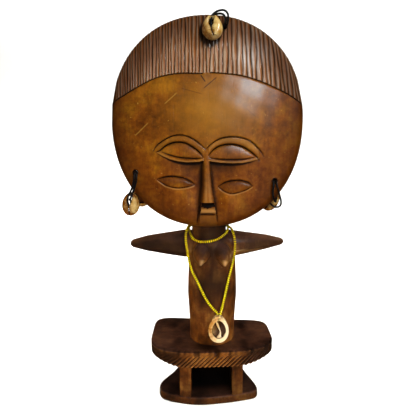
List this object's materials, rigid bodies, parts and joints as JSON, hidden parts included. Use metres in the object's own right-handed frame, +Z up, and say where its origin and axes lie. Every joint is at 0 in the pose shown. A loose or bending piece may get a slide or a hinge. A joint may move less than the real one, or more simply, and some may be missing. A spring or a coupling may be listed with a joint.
{
  "type": "akuaba figure",
  "caption": "Carved wooden disc-headed akuaba figure on a stool, with cowrie shells on cords at its crown and ears and a bead necklace with a cowrie pendant.",
  "frame": {"origin": "on the ground, under the middle of the stool's foot and the figure's mid-plane", "axes": "+Z up along the figure, the face looks along -Y, +X to the viewer's right when facing it"},
  "size_m": [0.1426, 0.0626, 0.3051],
  "materials": {
    "dark_wood": "waxed, semi gloss",
    "cowrie_shell": "glossy",
    "black_cord": "matt",
    "yellow_beads": "opaque, glossy"
  },
  "bodies": {
    "root": {"figure": "dark_wood", "crown_cowrie": "cowrie_shell", "left_ear_cowrie_front": "cowrie_shell", "left_ear_cowrie_back": "cowrie_shell", "right_ear_cowrie": "cowrie_shell", "pendant_cowrie": "cowrie_shell", "crown_cord": "black_cord", "left_ear_cord": "black_cord", "right_ear_cord": "black_cord", "crown_knot": "black_cord", "right_ear_knot": "black_cord", "bead_necklace": "yellow_beads"}
  },
  "joints": []
}
